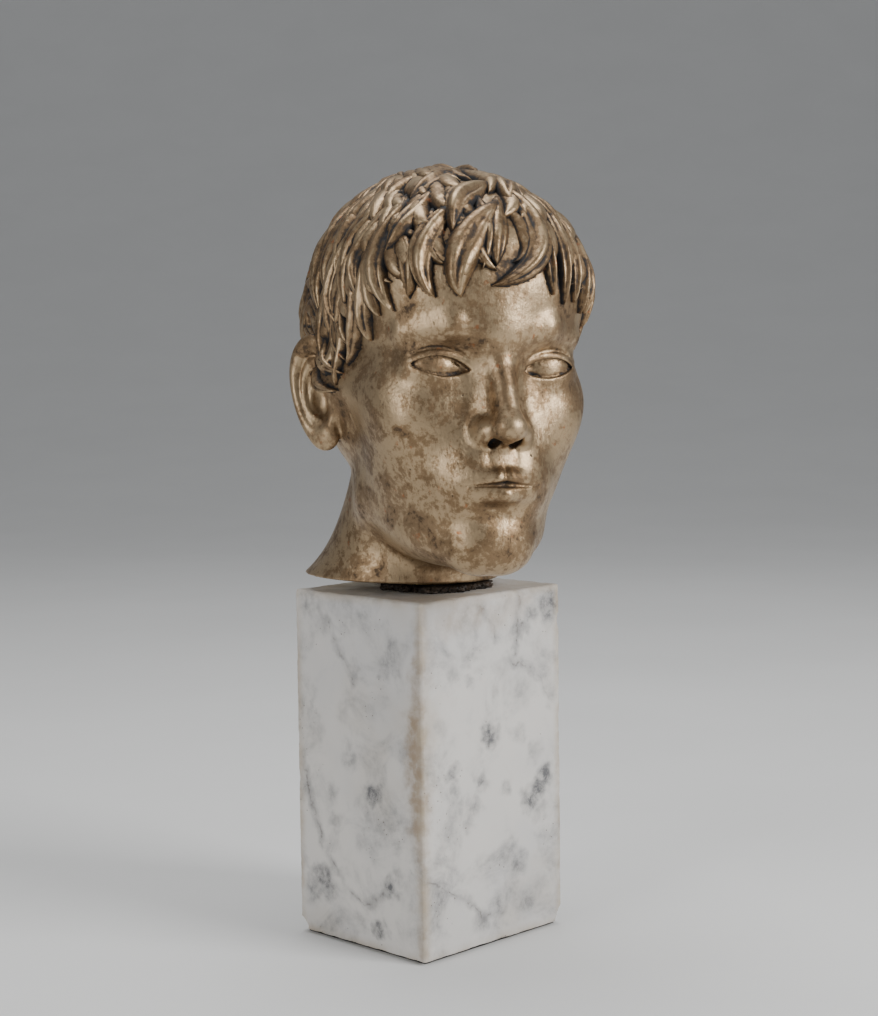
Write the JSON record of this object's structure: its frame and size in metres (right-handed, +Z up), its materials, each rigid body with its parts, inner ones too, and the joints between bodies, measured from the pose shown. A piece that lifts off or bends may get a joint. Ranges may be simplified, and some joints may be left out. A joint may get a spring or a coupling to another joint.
{
  "type": "bust on a stone block",
  "caption": "Cast metal head with short combed hair, held by a threaded rod on an upright marble block and turned on it by hand.",
  "frame": {"origin": "middle of the underside of the felt sheet, where the bust stands", "axes": "+Z up along the rod, -Y out of the block's front face, +X out of the block's face on the left side of a figure that looks along -Y"},
  "size_m": [0.1184, 0.1404, 0.3109],
  "materials": {
    "bronze": "aged bronze, dark in the hollows and rubbed pale gold on the high parts",
    "marble": "honed white marble with grey clouds and thin veins",
    "plaster": "cast plaster, matt",
    "filler": "dark brown resin filler, rough",
    "brass": "turned brass",
    "steel": "zinc plated steel",
    "fibre": "red vulcanised fibre",
    "felt": "dark green pressed felt"
  },
  "bodies": {
    "base": {"marble_block": "marble", "felt_sheet": "felt"},
    "head": {"head_casting": "bronze", "plaster_core": "plaster", "neck_filler": "filler", "spacer": "brass", "threaded_rod": "steel", "anchor_plate": "steel", "anchor_nuts": "steel", "fibre_washer": "fibre", "steel_washer": "steel", "spring_washer": "steel", "clamp_nut": "steel"}
  },
  "joints": [
    {"name": "head_turn", "type": "hinge", "parent": "base", "child": "head", "pos_m": [0, 0, 0.141], "axis": [0, 0, 1], "continuous": true}
  ]
}
